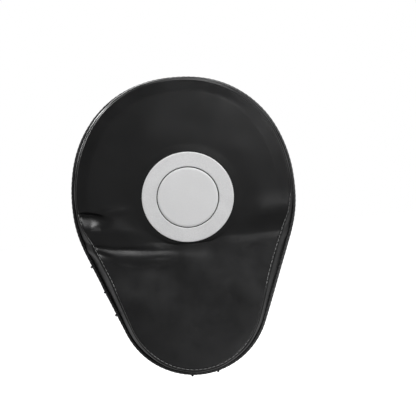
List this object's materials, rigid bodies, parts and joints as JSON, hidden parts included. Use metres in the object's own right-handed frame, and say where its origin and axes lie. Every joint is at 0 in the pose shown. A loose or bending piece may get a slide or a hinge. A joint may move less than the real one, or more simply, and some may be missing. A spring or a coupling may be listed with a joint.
{
  "type": "focus mitt",
  "caption": "Curved black teardrop punching mitt with a round light grey target on its face, and a finger pocket, thumb pocket, palm pad and hook-and-loop wrist strap behind.",
  "frame": {"origin": "middle of the palm pad's flat face, where the palm presses", "axes": "+Z runs from the wrist end to the crown, +Y points backwards out of the palm pad towards the hand, and the hitting face looks towards -Y"},
  "size_m": [0.1908, 0.1043, 0.2498],
  "materials": {
    "leather": "satin",
    "binding": "satin",
    "target": "matte",
    "target_centre": "satin",
    "foam": "matte",
    "board": "matte",
    "lining": "matte",
    "strap": "matte",
    "hook_loop": "matte"
  },
  "bodies": {
    "heel": {"back_panel": "leather", "side_band": "leather", "edge_binding": "binding", "front_panel": "leather", "heel_back_board": "board", "heel_core_foam": "foam", "heel_face_foam": "foam", "palm_pad": "leather", "thumb_pocket": "leather", "thumb_pocket_padding": "foam", "thumb_pocket_lining": "lining", "thumb_pocket_binding": "binding", "wrist_tab": "strap", "loop_patch": "hook_loop", "tab_anchor": "leather", "flap_anchor": "leather"},
    "strike": {"strike_back_board": "board", "strike_core_foam": "foam", "strike_face_foam": "foam", "target_ring": "target", "target_centre": "target_centre", "finger_pocket": "leather", "finger_pocket_padding": "foam", "finger_pocket_lining": "lining", "finger_pocket_binding": "binding"},
    "flap": {"wrist_flap": "strap", "hook_patch": "hook_loop", "pull_tab": "binding"}
  },
  "joints": [
    {"name": "palm_flex", "type": "hinge", "parent": "heel", "child": "strike", "pos_m": [0, -0.0073, 0.026], "axis": [1, 0, 0], "range_deg": [-8, 14], "stiffness_Nm_per_rad": 8, "deforming": ["front_panel", "back_panel", "side_band", "edge_binding"]},
    {"name": "strap_open", "type": "hinge", "parent": "heel", "child": "flap", "pos_m": [-0.044, -0.01326, -0.05], "axis": [0, 0.1564, 0.9877], "range_deg": [0, 85]}
  ]
}
